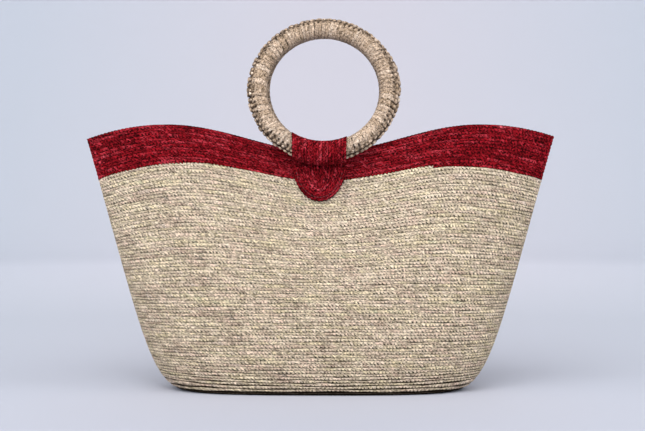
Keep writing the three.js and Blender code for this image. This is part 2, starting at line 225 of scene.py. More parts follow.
def braided_palm(name, tones, tints, painted_shade, grain, roughness):
    material, add = new_material(name)
    place = add("ShaderNodeUVMap", {}, uv_map="braid")["UV"]
    parts = add("ShaderNodeSeparateXYZ", {"Vector": place})
    course = add("ShaderNodeMath", {0: parts["Y"]}, operation="FLOOR")[0]
    rise = add("ShaderNodeMath", {0: parts["Y"]}, operation="FRACT")[0]
    slanted = add("ShaderNodeMath", {0: rise, 1: STRIP_SLANT, 2: parts["X"]}, operation="MULTIPLY_ADD")[0]
    number = add("ShaderNodeMath", {0: slanted}, operation="FLOOR")[0]
    one_strip = add("ShaderNodeCombineXYZ", {"X": number, "Y": course})[0]
    chances = add("ShaderNodeTexWhiteNoise", {"Vector": one_strip}, noise_dimensions="2D")["Color"]
    chances = add("ShaderNodeSeparateXYZ", {"Vector": chances})

    # Leaves change along a course every few centimetres.
    leaf_scale = (STRIP_LENGTH / LEAF_RUN, LEAF_JUMP, 1)
    leaf = add("ShaderNodeVectorMath", {0: one_strip, 1: leaf_scale}, operation="MULTIPLY")[0]
    leaf = add("ShaderNodeTexNoise", {"Vector": leaf, "Scale": 1.0, "Detail": 2.0}, noise_dimensions="2D")
    least_tone = (1 - LEAF_CONTRAST - STRIP_CONTRAST) / 2
    tone = add("ShaderNodeMath", {0: chances["X"], 1: STRIP_CONTRAST, 2: least_tone},
               operation="MULTIPLY_ADD")[0]
    tone = add("ShaderNodeMath", {0: leaf["Fac"], 1: LEAF_CONTRAST, 2: tone},
               operation="MULTIPLY_ADD", use_clamp=True)[0]
    colour = add("ShaderNodeValToRGB", {"Fac": tone}, tones)["Color"]
    leaf_hue = add("ShaderNodeSeparateXYZ", {"Vector": leaf["Color"]})["Y"]
    hue = add("ShaderNodeMath", {0: chances["Y"], 1: HUE_CONTRAST, 2: -HUE_CONTRAST / 2},
              operation="MULTIPLY_ADD")[0]
    hue = add("ShaderNodeMath", {0: leaf_hue, 1: hue}, operation="ADD", use_clamp=True)[0]
    tint = add("ShaderNodeValToRGB", {"Fac": hue}, tints)["Color"]
    colour = add("ShaderNodeVectorMath", {0: colour, 1: tint}, operation="MULTIPLY")[0]
    fibre = split_fibres(add, place, BRAID_FIBRES)
    lit = add("ShaderNodeMapRange", {"Value": fibre, "To Min": 1 - grain, "To Max": 1 + grain})[0]
    colour = add("ShaderNodeVectorMath", {0: colour, "Scale": lit}, operation="SCALE")[0]

    # Gaps, darkened with painted shade: a speck at each strip's foot, darker where the braid is worn, and a
    # thin line at its end.
    # the attribute gives each seam's openness, which sets its painted shade, with the painted contact shadow
    # at the foot
    seam_opening_and_shade = add("ShaderNodeAttribute", {}, attribute_name="openness_and_shade")["Fac"]
    along_strip = add("ShaderNodeMath", {0: slanted}, operation="FRACT")[0]
    to_end = off_middle(add, along_strip)
    corner = add("ShaderNodeMath", {0: rise, 1: -1, 2: 1}, operation="MULTIPLY_ADD")[0]
    corner = add("ShaderNodeMath", {0: corner, 1: to_end}, operation="MULTIPLY")[0]
    corner = add("ShaderNodeMapRange", {"Value": corner, **SPECK_EDGE})[0]
    strip_end = add("ShaderNodeMapRange", {"Value": to_end, **STRIP_END})[0]
    corner = add("ShaderNodeMath", {0: corner, 1: strip_end}, operation="MAXIMUM")[0]
    depth = add("ShaderNodeMapRange", {"Value": chances["Z"], **SPECK_DEPTH})[0]
    worn = add("ShaderNodeMapRange", {"Value": seam_opening_and_shade, **WORN_SPECK})[0]
    depth = add("ShaderNodeMath", {0: depth, 1: worn}, operation="MULTIPLY")[0]
    speck = add("ShaderNodeMath", {0: corner, 1: depth}, operation="MULTIPLY")[0]

    # Whole seams are darkened with painted shade where two courses lie parted, and the lowest courses with a
    # painted contact shadow.
    seam = add("ShaderNodeMath", {0: seam_opening_and_shade, 1: SEAM_WIDENING, 2: off_middle(add, rise)},
               operation="MULTIPLY_ADD")[0]
    seam = add("ShaderNodeMapRange", {"Value": seam, **SEAM_EDGE})[0]
    seam_scale = (STRIP_LENGTH / SEAM_RUN, SEAM_JUMP, 1)
    parted = add("ShaderNodeVectorMath", {0: one_strip, 1: seam_scale}, operation="MULTIPLY")[0]
    parted = add("ShaderNodeTexNoise", {"Vector": parted, "Scale": 1.0, "Detail": 1.0},
                 noise_dimensions="2D")["Fac"]
    seam_opening_and_shade = add("ShaderNodeMath", {0: seam_opening_and_shade, 1: SEAM_SHARE, 2: SEAM_LEAST},
                    operation="MULTIPLY_ADD")[0]
    seam_opening_and_shade = add("ShaderNodeMath", {0: parted, 1: PARTED_SHARE, 2: seam_opening_and_shade},
                    operation="MULTIPLY_ADD", use_clamp=True)[0]
    seam = add("ShaderNodeMath", {0: seam, 1: seam_opening_and_shade}, operation="MULTIPLY")[0]
    dark = add("ShaderNodeMath", {0: speck, 1: seam}, operation="MAXIMUM", use_clamp=True)[0]
    colour = add("ShaderNodeMix", {"Factor": dark, 6: colour, 7: linear(painted_shade)}, data_type="RGBA")[2]
    dull = add("ShaderNodeMapRange", {
        "Value": fibre, "To Min": roughness + FIBRE_GLOSS, "To Max": roughness - FIBRE_GLOSS})[0]
    bump = add("ShaderNodeBump", {"Height": fibre, "Strength": 0.35, "Distance": 0.15 * MM})[0]
    shader = add("ShaderNodeBsdfPrincipled", {
        "Base Color": colour, "Roughness": dull, "Normal": bump, "Specular IOR Level": 0.04, "IOR": 1.45})
    add("ShaderNodeOutputMaterial", {"Surface": shader[0]})
    return material


# Strip palm leaf wound round the ring: narrow turns of tan and grey-pink leaf, creased along their
# fibres, with dashes of painted shade where two turns part and in the deepest creases, and brown painted
# shade in the hollows where the knots pull them open and under the spine. Creases, fibres and dashes are
# counted over a turn's 4.8 mm and over the ring's girth of 55 mm.
CREASES = (5.0, 16.0, 1.0)
CREASE_TONES = {"From Min": 0.25, "From Max": 0.75}
DARK_CREASE = {"From Min": 0.22, "From Max": 0.1}
CREASE_GLOSS = {"To Min": 0.75, "To Max": 0.55}
TURN_CONTRAST = 0.4
WOUND_FIBRES = (3.5, 50.0, 1.0)
WOUND_GRAIN = {"To Min": 0.5, "To Max": 1.45}
TURN_EDGE = {"From Min": 0.38, "From Max": 0.46}
DASHES = (0.7, 15.0, 1.0)
DASH_ENDS = {"From Min": 0.53, "From Max": 0.6}


def wound_palm(name, tones, painted_shade):
    material, add = new_material(name)
    place = add("ShaderNodeUVMap", {}, uv_map="braid")["UV"]
    parts = add("ShaderNodeSeparateXYZ", {"Vector": place})
    slanted = add("ShaderNodeMath", {0: parts["X"], 1: parts["Y"]}, operation="ADD")[0]
    on_turn = add("ShaderNodeCombineXYZ", {"X": slanted, "Y": parts["Y"]})[0]
    number = add("ShaderNodeMath", {0: slanted}, operation="FLOOR")[0]
    turn_tone = add("ShaderNodeTexWhiteNoise", {"W": number}, noise_dimensions="1D")["Value"]
    crease = add("ShaderNodeVectorMath", {0: on_turn, 1: CREASES}, operation="MULTIPLY")[0]
    crease = add("ShaderNodeTexNoise", {"Vector": crease, "Scale": 1.0, "Detail": 3.0, "Roughness": 0.7},
                 noise_dimensions="2D")["Fac"]
    crease = add("ShaderNodeMapRange", {"Value": crease, **CREASE_TONES})[0]
    tone = add("ShaderNodeMath", {0: turn_tone, 1: TURN_CONTRAST, 2: -TURN_CONTRAST / 2},
               operation="MULTIPLY_ADD")[0]
    tone = add("ShaderNodeMath", {0: crease, 1: tone}, operation="ADD", use_clamp=True)[0]
    colour = add("ShaderNodeValToRGB", {"Fac": tone}, tones)["Color"]
    fibre = split_fibres(add, on_turn, WOUND_FIBRES)
    lit = add("ShaderNodeMapRange", {"Value": fibre, **WOUND_GRAIN})[0]
    colour = add("ShaderNodeVectorMath", {0: colour, "Scale": lit}, operation="SCALE")[0]

    # Painted shade: dashes along the turns' edges, the deepest creases, and the hollows of the mesh.
    across_turn = add("ShaderNodeMath", {0: slanted}, operation="FRACT")[0]
    parted = add("ShaderNodeMapRange", {"Value": off_middle(add, across_turn), **TURN_EDGE})[0]
    dash = add("ShaderNodeVectorMath", {0: on_turn, 1: DASHES}, operation="MULTIPLY")[0]
    dash = add("ShaderNodeTexNoise", {"Vector": dash, "Scale": 1.0, "Detail": 1.0},
               noise_dimensions="2D")["Fac"]
    dash = add("ShaderNodeMapRange", {"Value": dash, **DASH_ENDS})[0]
    dash = add("ShaderNodeMath", {0: dash, 1: parted}, operation="MULTIPLY")[0]
    # painted shade in the deepest creases
    crease_shade = add("ShaderNodeMapRange", {"Value": crease, **DARK_CREASE})[0]
    dash = add("ShaderNodeMath", {0: dash, 1: crease_shade}, operation="MAXIMUM")[0]
    mesh_shade = add("ShaderNodeAttribute", {}, attribute_name="openness_and_shade")["Fac"]
    dark = add("ShaderNodeMath", {0: dash, 1: mesh_shade}, operation="MAXIMUM", use_clamp=True)[0]
    colour = add("ShaderNodeMix", {"Factor": dark, 6: colour, 7: linear(painted_shade)}, data_type="RGBA")[2]
    dull = add("ShaderNodeMapRange", {"Value": crease, **CREASE_GLOSS})[0]
    bump = add("ShaderNodeBump", {"Height": crease, "Strength": 0.5, "Distance": 0.3 * MM})[0]
    shader = add("ShaderNodeBsdfPrincipled", {
        "Base Color": colour, "Roughness": dull, "Normal": bump, "Specular IOR Level": 0.2, "IOR": 1.45})
    add("ShaderNodeOutputMaterial", {"Surface": shader[0]})
    return material


# Peeled cane of the hoop and waxed sewing thread: plain matte fibre with a fine mottle, mostly hidden.
FIBRE_DULLNESS = {"To Min": 0.8, "To Max": 0.6}


def matte_fibre(name, light, dark, grain):
    material, add = new_material(name)
    place = add("ShaderNodeTexCoord", {})["Object"]
    scale = 1 / (grain * MM)
    mottle = add("ShaderNodeTexNoise", {"Vector": place, "Scale": scale, "Detail": 4.0})["Fac"]
    colour = add("ShaderNodeValToRGB", {"Fac": mottle}, [dark, light])["Color"]
    bump = add("ShaderNodeBump", {"Height": mottle, "Strength": 0.3, "Distance": 0.1 * MM})[0]
    dull = add("ShaderNodeMapRange", {"Value": mottle, **FIBRE_DULLNESS})[0]
    shader = add("ShaderNodeBsdfPrincipled", {"Base Color": colour, "Roughness": dull, "Normal": bump})
    add("ShaderNodeOutputMaterial", {"Surface": shader[0]})
    return material


# Painted board of the studio floor: pale, cool and a little cloudy, with no gloss, cooler towards its
# sides, and paler away from the middle, where less light falls. Its sizes are metres.
BOARD_SIDES = {"From Min": 0.15, "From Max": 0.9}
BOARD_MIDDLE = (0, -0.35, 0)
BOARD_REACH = 3.65
CLOUD_SIZE = 0.5
CLOUD_SHIFT = 0.05


def painted_board(name, tones, side_tint):
    material, add = new_material(name)
    place = add("ShaderNodeTexCoord", {})["Object"]
    aside = add("ShaderNodeSeparateXYZ", {"Vector": place})["X"]
    aside = add("ShaderNodeMath", {0: aside}, operation="ABSOLUTE")[0]
    aside = add("ShaderNodeMapRange", {"Value": aside, **BOARD_SIDES})[0]
    tint = add("ShaderNodeValToRGB", {"Fac": aside}, ["#ffffff", side_tint])["Color"]
    cloud = add("ShaderNodeTexNoise", {"Vector": place, "Scale": 1 / CLOUD_SIZE, "Detail": 2.0})["Fac"]
    way = add("ShaderNodeVectorMath", {0: place, 1: BOARD_MIDDLE}, operation="SUBTRACT")[0]
    way = add("ShaderNodeVectorMath", {0: way, 1: (1, 1, 0)}, operation="MULTIPLY")[0]
    way = add("ShaderNodeVectorMath", {0: way}, operation="LENGTH")["Value"]
    way = add("ShaderNodeMath", {0: cloud, 1: CLOUD_SHIFT, 2: way}, operation="MULTIPLY_ADD")[0]
    way = add("ShaderNodeMapRange", {"Value": way, "From Max": BOARD_REACH})[0]
    colour = add("ShaderNodeValToRGB", {"Fac": way}, tones)["Color"]
    colour = add("ShaderNodeVectorMath", {0: colour, 1: tint}, operation="MULTIPLY")[0]
    shader = add("ShaderNodeBsdfPrincipled", {
        "Base Color": colour, "Roughness": 0.9, "Specular IOR Level": 0.1})
    add("ShaderNodeOutputMaterial", {"Surface": shader[0]})
    return material


PLAIN_PALM = braided_palm(
    "plain_palm_braid", tones=["#7a7467", "#a9a191", "#c2baaa", "#d5cdbf", "#ece6dc"],
    tints=["#e6ecda", "#fff4dc", "#fbf0e4", "#f8e4da", "#eaeaec"], painted_shade="#140d05", grain=0.55, roughness=0.65)
RED_PALM = braided_palm(
    "red_dyed_palm_braid", tones=["#360105", "#56060d", "#740e18", "#98303a", "#cc7a83"],
    tints=["#ffdcdc", "#fff0ee", "#ffffff"], painted_shade="#0a0000", grain=0.95, roughness=0.7)
WOUND_PALM = wound_palm(
    "wound_palm_strip", tones=["#695641", "#998269", "#af9882", "#c3ac96", "#dfceb9"], painted_shade="#221408")
CANE = matte_fibre("peeled_cane", light="#b08f62", dark="#8a6b45", grain=3)
RED_THREAD = matte_fibre("waxed_red_thread", light="#6a1a20", dark="#3c0c10", grain=0.5)
FLOOR_PAINT = painted_board(
    "pale_painted_board", tones=["#babcc7", "#c9cad3", "#e8e5ed", "#dbd8df"], side_tint="#f4fdff")


# The wall's shape
def rim_height(across):
    """Height of the waved rim over a place across the bag, from -1 to 1."""
    place = np.abs(across * MOUTH_LENGTH / 2 - RIM_DIP_PLACE)
    rise = (1 - np.cos(math.pi * place / RIM_PEAK_PLACE)) / 2
    past = (place - RIM_PEAK_PLACE) / (MOUTH_LENGTH / 2 - RIM_PEAK_PLACE)
    dip = RIM_MIDDLE_HEIGHT + (RIM_PEAK_HEIGHT - RIM_MIDDLE_HEIGHT) * rise
    corner = RIM_PEAK_HEIGHT - (RIM_PEAK_HEIGHT - RIM_CORNER_HEIGHT) * past ** 2
    return np.where(place < RIM_PEAK_PLACE, dip, corner)


# The outlines that the wall's profiles run between: base, foot, belly and mouth
OUTLINES = [
    dict(length=268, depth=100, height=0, fullness=4, taper=0.5, fold_in=0, wall_in=0, lift=3),
    dict(length=346, depth=126, height=0, fullness=3.2, taper=0.5, fold_in=3, wall_in=3, lift=3),
    dict(length=363, depth=128, height=62, fullness=2.6, taper=0.55, fold_in=5.5, wall_in=3, lift=0),
    dict(length=MOUTH_LENGTH, depth=70, height=None, fullness=2, taper=0.85, fold_in=8, wall_in=3, lift=0),
]


def profile_weights(share):
    """How much each outline counts at a share of the way from base to rim."""
    rest = 1 - share
    return [rest ** 3, 3 * rest ** 2 * share, 3 * rest * share ** 2, share ** 3]


def wall_points(angle, share, inside=False):
    """Points of the wall's outer or inner face."""
    across = np.cos(angle)
    side = np.sign(np.sin(angle))
    x = y = z = 0
    for weight, outline in zip(profile_weights(share), OUTLINES):
        half_length = outline["length"] / 2 - (outline["fold_in"] if inside else 0)
        half_depth = outline["depth"] / 2 - (outline["wall_in"] if inside else 0)
        bow = np.clip(1 - np.abs(across) ** outline["fullness"], 0, None) ** outline["taper"]
        height = rim_height(across) if outline["height"] is None else outline["height"]
        x = x + weight * half_length * across
        y = y + weight * half_depth * bow * side
        z = z + weight * (height + (outline["lift"] if inside else 0))
    return np.stack(np.broadcast_arrays(x, y, z), axis=-1)


def walked(points):
    """Lengths along a row of points, from its start."""
    steps = np.linalg.norm(np.diff(points, axis=-2), axis=-1)
    return np.concatenate([np.zeros(steps.shape[:-1] + (1,)), np.cumsum(steps, axis=-1)], axis=-1)


def even_angles(columns):
    """Angles round the bag that space the columns evenly along a course at about half height."""
    fine = np.linspace(0, TURN, ANGLE_STEPS + 1)
    length = walked(wall_points(fine, EVEN_SHARE))
    return np.interp(np.linspace(0, length[-1], columns + 1), length, fine)


def wobble(round_share, level):
    """Small rise and fall of the courses, in courses, so that no course runs quite true."""
    return sum(w["rise"] * np.sin(TURN * (w["count"] * round_share + w["step"] * level)) for w in WAVES)


def wall_surface(first_course, columns):
    """The wall as a surface of levels, counted in courses from a first one, by columns round the bag."""
    angles = even_angles(columns)
    shares = np.linspace(0, 1, PROFILE_STEPS + 1)
    profiles = wall_points(angles[:, None], shares[None, :])
    lengths = walked(profiles)
    turned_up = [np.interp(FOOT_HEIGHT, profiles[i, :, 2], lengths[i]) for i in range(columns + 1)]
    wider = np.array(turned_up) - min(turned_up)
    to_side = (1 - np.cos(math.pi * np.cos(angles))) / 2
    band = BAND_MIDDLE_WIDTH + (BAND_SIDE_WIDTH - BAND_MIDDLE_WIDTH) * to_side
    top = lengths[:, -1] - band
    round_share = np.linspace(0, 1, columns + 1)

    def surface(levels, inside):
        level = levels + first_course
        edge = np.minimum(level, COURSE_COUNT + BAND_COURSES - level)
        level = level + wobble(round_share[None, :], level) * np.clip(edge, 0, 1)
        plain = np.minimum(level, COURSE_COUNT)
        past = np.clip((plain / COURSE_COUNT - LEVEL_SHARE) / (1 - LEVEL_SHARE), 0, None)
        length = plain * COURSE_PITCH + wider * np.clip(plain / FOOT_COURSES, 0, 1)
        length = length + (top - COURSE_COUNT * COURSE_PITCH - wider) * past
        length = length + band * np.clip(level - COURSE_COUNT, 0, None) / BAND_COURSES
        share = np.empty_like(length)
        for i in range(columns + 1):
            share[:, i] = np.interp(length[:, i], lengths[i], shares)
        return wall_points(angles[None, :], share, inside)

    return surface


def base_surface(columns):
    """The flat base as courses round its middle line: the underside, or the top face inside the bag."""
    edge = wall_points(even_angles(columns), 0.0)
    half_line = (OUTLINES[0]["length"] - OUTLINES[0]["depth"]) / 2
    middle = np.clip(edge, (-half_line, 0, 0), (half_line, 0, 0))

    def surface(levels, inside):
        part = (levels / BASE_COURSES)[..., None]
        points = middle[None] + (edge - middle)[None] * part
        points[..., 2] = BASE_THICKNESS if inside else 0
        return points

    return surface


# The front of the wall, where a tab is sewn on
FRONT_SHARES = np.linspace(0, 1, PROFILE_STEPS + 1)
FRONT_LENGTHS = walked(wall_points(np.full(PROFILE_STEPS + 1, -math.pi / 2), FRONT_SHARES))
LOOP_FOOT_LENGTH = FRONT_LENGTHS[-1] - LOOP_BELOW_RIM


def front_points(across, drop, out):
    """Points out from the front wall, at a place across the bag and a drop below the loop's foot."""
    share = np.interp(LOOP_FOOT_LENGTH - drop, FRONT_LENGTHS, FRONT_SHARES)
    half_length = sum(w * o["length"] / 2 for w, o in zip(profile_weights(share), OUTLINES))
    angle = -np.arccos(across / half_length)
    points = wall_points(angle, share)
    along = wall_points(angle + NORMAL_STEP, share) - wall_points(angle - NORMAL_STEP, share)
    up = points - wall_points(angle, share - NORMAL_STEP)
    normal = np.cross(along, up)
    normal = normal / np.linalg.norm(normal, axis=-1, keepdims=True)
    return points + normal * np.asarray(out)[..., None]


def throat_swell(across, drop):
    """How much of its rise at the throat the tab's tongue has: 1 in the middle, less towards its edges."""
    near = np.clip(1 - (drop - TAB_BEND) / (TAB_DROP - TAB_BEND), 0, 1)
    return near ** 2 * (1 - (2 * across / TAB_WIDTH) ** 2)


def leaf_surface(inset, out, columns, top_drop=None, arch=0, crown=0, tuck=0):
    """A leaf of the tab as courses that run in a U round its middle line, with a round end. One with an
    upper edge has straight sides above the bend. The other starts at the throat, where it is raised by an
    arch and crowned outwards, to meet the loop, and its sewn edge is tucked down to the wall."""
    half_width = TAB_WIDTH / 2 - inset
    reach = TAB_DROP - TAB_BEND - inset
    start = 0 if top_drop is not None else math.asin((TAB_THROAT - TAB_BEND) / reach)
    around = np.linspace(start, math.pi - start, BEND_POINTS)
    edge = np.stack([-half_width * np.cos(around), TAB_BEND + reach * np.sin(around)], axis=-1)
    core = np.stack([0 * around, TAB_BEND + (TAB_CORE - inset) * np.sin(around)], axis=-1)
    if top_drop is not None:
        drops = np.linspace(top_drop, TAB_BEND, SIDE_POINTS)[:-1]
        side = np.stack([np.full(drops.shape, half_width), drops], axis=-1)
        middle = side * (0, 1)
        edge = np.concatenate([side * (-1, 1), edge, side[::-1]])
        core = np.concatenate([middle, core, middle[::-1]])
    way = walked(edge)
    even = np.linspace(0, way[-1], columns + 1)
    edge = np.stack([np.interp(even, way, edge[:, k]) for k in (0, 1)], axis=-1)
    core = np.stack([np.interp(even, way, core[:, k]) for k in (0, 1)], axis=-1)

    def surface(levels, inside):
        part = (levels / TAB_COURSES)[..., None]
        spot = core[None] + (edge - core)[None] * part
        across, drop = spot[..., 0], spot[..., 1]
        swell = throat_swell(across, drop)
        edge_part = np.clip(levels - TAB_COURSES + 1, 0, 1)
        stand = out + crown * swell - tuck * edge_part ** 2 + (0 if inside else LEAF_THICKNESS)
        return front_points(across, drop - arch * swell, stand)

    return surface


# Places on the ring, from its own frame to the bag's
FRONT_TURN = next(joint for joint in frame["joints"] if joint["name"] == "front_ring_turn")
RING_CENTRE = np.array(FRONT_TURN["pos_m"]) / MM
LEAN_COS = -FRONT_TURN["axis"][1]
LEAN_SIN = FRONT_TURN["axis"][2]


def on_ring(points):
    """Points of the upright ring, leaned and put in the front tab."""
    x, y, z = points[..., 0], points[..., 1], points[..., 2]
    leaned = np.stack([x, y * LEAN_COS + z * LEAN_SIN, z * LEAN_COS - y * LEAN_SIN], axis=-1)
    return leaned + RING_CENTRE


def loop_surface(columns):
    """The tab's loop as courses side by side that go round the foot of the ring."""
    turn = np.linspace(0, TURN, columns + 1)[None]

    def surface(levels, inside):
        across = (levels / LOOP_COURSES - 0.5) * TAB_WIDTH - RING_SHIFT
        outer = np.sqrt(RING_OUTER_RADIUS ** 2 - across ** 2)
        inner = np.sqrt(RING_INNER_RADIUS ** 2 - across ** 2)
        thick = 0 if inside else LOOP_THICKNESS
        closer = (LOOP_UPPER_CLOSER + LOOP_UPPER_THINNER * thick) * np.clip(np.sin(turn), 0, 1)
        rise = (outer - inner) / 2 + LOOP_ROOM + thick - closer
        x = across + 0 * turn
        y = (LOOP_BORE + thick) * np.cos(turn) + 0 * x
        z = rise * np.sin(turn) - (outer + inner) / 2
        return on_ring(np.stack([x, y, z], axis=-1))

    return surface


# Making meshes
CELL_MARGIN = 0.002
BAKE_END_MARGIN = 0.004
BAKE_ROW_MARGIN = 0.01


def start_piece():
    """Leaves nothing selected, so that an operator acts on the new piece alone."""
    bpy.ops.object.select_all(action="DESELECT")


def close_piece(piece, cap_ends=False):
    """Merges the points that meet, caps open ends, turns the faces outwards and smooths them."""
    bpy.context.view_layer.objects.active = piece
    bpy.ops.object.mode_set(mode="EDIT")
    bpy.ops.mesh.select_all(action="SELECT")
    bpy.ops.mesh.remove_doubles(threshold=MERGE_DISTANCE)
    if cap_ends:
        bpy.ops.mesh.select_all(action="DESELECT")
        bpy.ops.mesh.select_non_manifold()
        bpy.ops.mesh.edge_face_add()
    bpy.ops.mesh.select_all(action="SELECT")
    bpy.ops.mesh.normals_make_consistent(inside=False)
    bpy.ops.object.mode_set(mode="OBJECT")
    bpy.ops.object.shade_smooth()


def finish_piece(piece, body, looks, solid):
    """Gives a piece its materials and its body, and hides the solid that it stands for."""
    for look in looks:
        piece.data.materials.append(look)
    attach(piece, body)
    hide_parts(solid)


def grid_piece(name, points, openness_and_shade, braid, cell_course, dyed=None):
    """A grid laid over rows of points. Each cell takes its place in the braid from its own course, and each
    point keeps how open the braid or the winding is there, and how much painted shade it gets."""
    lines, columns = points.shape[0] - 1, points.shape[1] - 1
    start_piece()
    bpy.ops.mesh.primitive_grid_add(x_subdivisions=columns, y_subdivisions=lines, size=1)
    piece = bpy.context.object
    piece.name = name
    mesh = piece.data
    mesh.name = name
    flat = np.empty(len(mesh.vertices) * 3)
    mesh.vertices.foreach_get("co", flat)
    flat = flat.reshape(-1, 3)
    column = np.rint((flat[:, 0] + 0.5) * columns).astype(int)
    line = np.rint((flat[:, 1] + 0.5) * lines).astype(int)
    mesh.vertices.foreach_set("co", (points[line, column] * MM).ravel())
    opened = mesh.attributes.new("openness_and_shade", "FLOAT", "POINT")
    opened.data.foreach_set("value", openness_and_shade[line, column].ravel())

    corner = np.empty(len(mesh.loops), int)
    mesh.loops.foreach_get("vertex_index", corner)
    corner_line = line[corner].reshape(-1, 4)
    corner_column = column[corner].reshape(-1, 4)
    course = cell_course[corner_line.min(axis=1)]
    lowest = course[:, None]
    strips, levels = braid
    u = strips[lowest, corner_column]
    v = np.clip(levels[corner_line], lowest + CELL_MARGIN, lowest + 1 - CELL_MARGIN)
    layer = mesh.uv_layers[0]
    layer.name = "braid"
    layer.data.foreach_set("uv", np.stack([u, v], axis=-1).ravel())

    # The map for baking lays the long grid out in a few rows, one above the other.
    girth = walked(points[:, columns // 3])[-1]
    length = walked(points[lines // 3])[-1]
    folds = max(1, round(math.sqrt(length / girth)))
    cell_column = corner_column.min(axis=1)
    fold = (cell_column * folds // columns)[:, None]
    along = corner_column * folds / columns - fold
    bake_u = BAKE_END_MARGIN + (1 - 2 * BAKE_END_MARGIN) * along
    bake_v = (fold + BAKE_ROW_MARGIN + (1 - 2 * BAKE_ROW_MARGIN) * corner_line / lines) / folds
    bake = mesh.uv_layers.new(name="OFBake")
    bake.data.foreach_set("uv", np.stack([bake_u, bake_v], axis=-1).ravel())
    if dyed is not None:
        mesh.polygons.foreach_set("material_index", dyed(course, cell_column / columns).astype(int))
    return piece


def outward(points, others, looped):
    """Unit normals of a grid of points, on the side away from the other face."""
    away = points - others
    if looped:
        body = points[:, :-1]
        along = np.roll(body, -1, axis=1) - np.roll(body, 1, axis=1)
        along = np.concatenate([along, along[:, :1]], axis=1)
    else:
        along = np.gradient(points, axis=1)
    normal = np.cross(along, np.gradient(points, axis=0))
    size = np.linalg.norm(normal, axis=-1, keepdims=True)
    normal = np.where(size > TINY, normal / np.maximum(size, TINY), away)
    normal = normal * np.where((normal * away).sum(axis=-1, keepdims=True) < 0, -1, 1)
    return normal / np.linalg.norm(normal, axis=-1, keepdims=True)


def braid_relief(levels, strips, counts, chances, seam):
    """How far a braided face stands out at each line and column. Where the seam is tight, only the corners
    between the strips are deep; where it is open, the whole groove is."""
    course = np.minimum(levels.astype(int), len(strips) - 1)
    rise = (levels - course)[:, None]
    crest = np.sqrt(np.clip(1 - (2 * rise ** CREST_LEAN - 1) ** 2, 0, 1))
    slanted = strips[course] + STRIP_SLANT * rise
    number = np.floor(slanted).astype(int)
    swell = np.sin(math.pi * (slanted - number))
    chance = chances[course[:, None], number % counts[course][:, None]]
    groove = GROOVE_DEPTH * (seam + (1 - seam) * (1 - swell))
    dip_share = SEAM_DIP_SHARE + (1 - SEAM_DIP_SHARE) * crest
    dip = STRIP_DIP * (1 - swell) * dip_share * (LEAST_DIP + chance)
    return STRIP_UNEVEN * (chance - 1) * crest - groove * (1 - crest) - dip


def seam_at(level):
    """How open the seams between the courses are, and so how much painted shade lies in them: a painted
    contact shadow on the lowest courses, where the bag stands, open at the foot, a little loose up to the
    middle of the wall, and tight above."""
    ease = np.clip((level - OPEN_COURSES) / EASE_COURSES, 0, 1)
    # painted contact shadow: the lowest courses are darkened where the bag meets the floor
    painted_foot_shadow = PAINTED_FOOT_SHADOW * np.clip(FOOT_SHADOW_FADE * (FOOT_SHADOW_COURSES - level), 0, 1)
    loose = LOOSE_SEAM * ease * np.clip((LOOSE_COURSES - level) / LOOSE_FADE, 0, 1)
    return OPEN_SEAM + (TIGHT_SEAM - OPEN_SEAM) * ease ** 2 * (3 - 2 * ease) + painted_foot_shadow + loose


def braided_shell(name, courses, surface, first_course=COURSE_COUNT, steps=(4, 2), centred=False, looped=True,
                  scallops=(0, 0), seed=0, worn=0, dyed=None):
    """A closed skin of sewn braid: its outer face, then its inner face back again, which is smooth where it
    has one step a course. Its seams are as open as those of the wall from a first course up, which sets
    their painted shade and the painted contact shadow at the foot, and worn is how much further, in all or
    by column. Scallops are how far, in courses, the strips of its first and last course stand out over its
    edges."""
    chance = np.random.default_rng(seed)
    outer_levels = np.arange(courses * steps[0] + 1) / steps[0]
    inner_levels = np.arange(courses * steps[1], -1, -1) / steps[1]
    middle = walked(surface(np.arange(courses)[:, None] + 0.5, False))
    counts = np.maximum(LEAST_STRIPS, np.rint(middle[:, -1] / STRIP_LENGTH).astype(int))
    chances = chance.uniform(0, 1, (courses, counts.max() + SPARE_STRIPS))
    strips = np.empty_like(middle)
    for course in range(courses):
        widths = chance.uniform(1 - STRIP_SPREAD, 1 + STRIP_SPREAD, counts[course])
        edges = np.concatenate([[0], np.cumsum(widths)])
        edges = edges * middle[course, -1] / edges[-1]
        strips[course] = np.interp(middle[course], edges, np.arange(len(edges)))

    faces = []
    openness_and_shade = []
    for levels, inside in ((outer_levels, False), (inner_levels, True)):
        places = levels[:, None] + 0 * strips[:1]
        places[levels == 0] -= scallops[0] * np.abs(np.sin(math.pi * strips[0]))
        places[levels == courses] += scallops[1] * (np.abs(np.sin(math.pi * strips[-1])) - 1)
        points = surface(places, inside)
        seam = seam_at(levels + first_course)[:, None] + worn
        sewn = np.minimum(seam, OPEN_SEAM)
        height = braid_relief(levels, strips, counts, chances, sewn)
        if looped and centred:
            height[levels == 0] = -GROOVE_DEPTH
        if inside and steps[1] == 1:
            height = 0 * height
        face = points + outward(points, surface(places, not inside), looped) * height[..., None]
        if looped:
            face[:, -1] = face[:, 0]
        faces.append(face)
        openness_and_shade.append((sewn if inside else seam) + 0 * height)
    levels = [outer_levels, inner_levels]
    outer_cells = np.arange(courses * steps[0]) // steps[0]
    inner_cells = courses - 1 - np.arange(courses * steps[1]) // steps[1]
    cells = [outer_cells, [courses - 1], inner_cells]
    if not centred:
        faces.append(faces[0][:1])
        openness_and_shade.append(openness_and_shade[0][:1])
        levels.append(outer_levels[:1])
        cells.append([0])
    braid = (strips, np.concatenate(levels))
    faces, openness_and_shade, cells = (np.concatenate(rows) for rows in (faces, openness_and_shade, cells))
    return grid_piece(name, faces, openness_and_shade, braid, cells, dyed)


